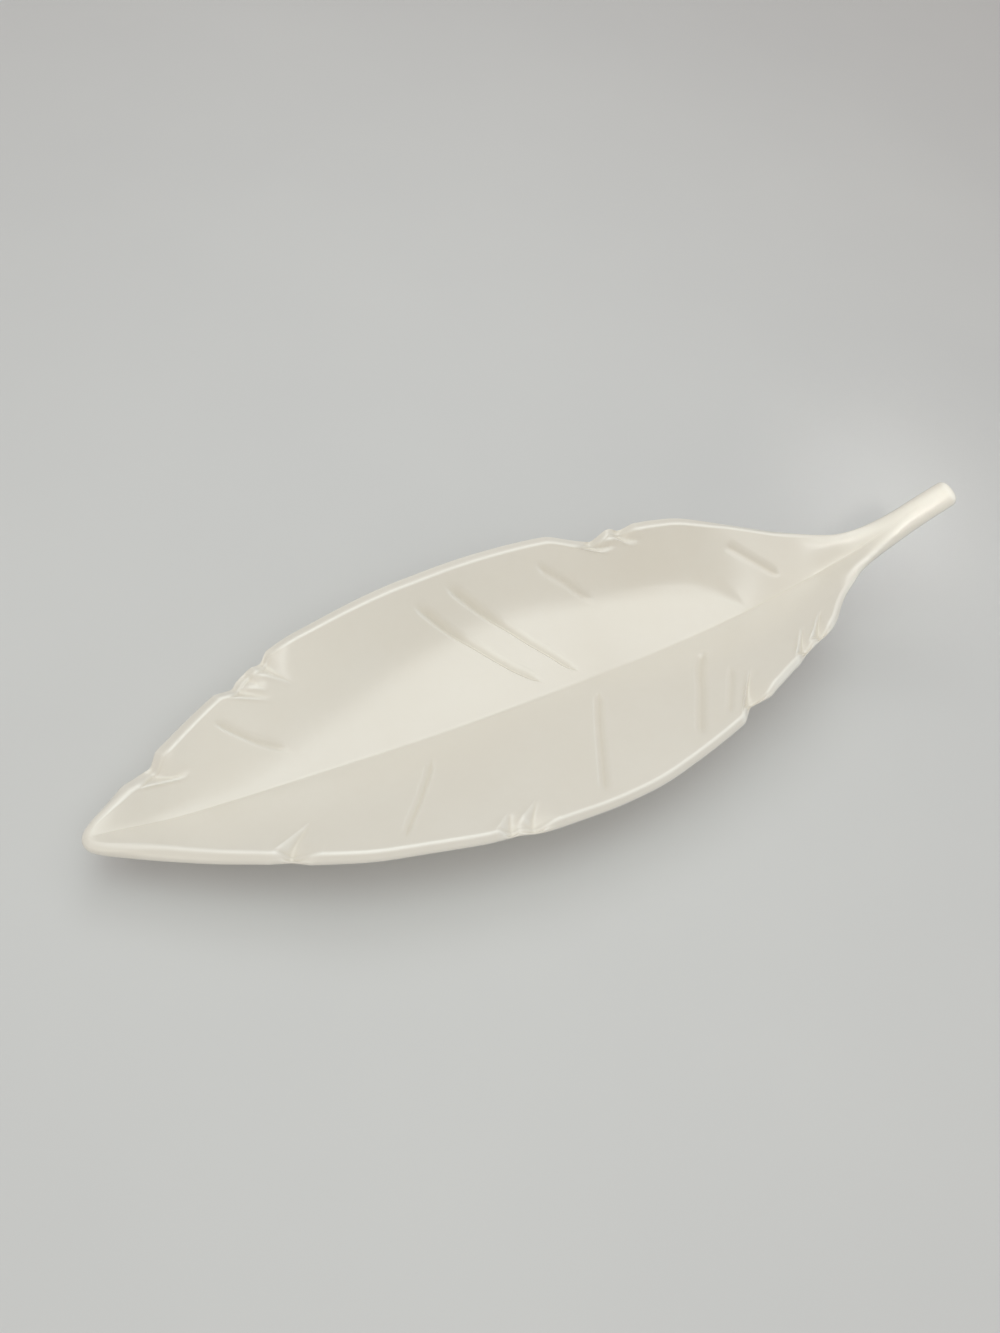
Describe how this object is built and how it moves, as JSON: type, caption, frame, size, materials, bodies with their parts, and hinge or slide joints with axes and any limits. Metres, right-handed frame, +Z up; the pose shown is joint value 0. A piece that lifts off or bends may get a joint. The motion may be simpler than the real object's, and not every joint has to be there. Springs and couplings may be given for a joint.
{
  "type": "leaf shaped plate",
  "caption": "Shallow glazed ceramic serving dish in the shape of a leaf, with a midrib crease, incised veins, a torn rim, an upturned stem to lift it by and an oval foot.",
  "frame": {"origin": "on the table, under the middle of the dish's bounding box", "axes": "+Z up, +X from the leaf's tip to its stem, +Y towards the half with the flat floor"},
  "size_m": [0.3432, 0.1142, 0.0698],
  "materials": {
    "glaze": "satin off-white glaze",
    "bisque": "unglazed fired clay, ground flat"
  },
  "bodies": {
    "root": {"leaf_blade": "glaze", "stem": "glaze", "foot_ring": "bisque"}
  },
  "joints": []
}
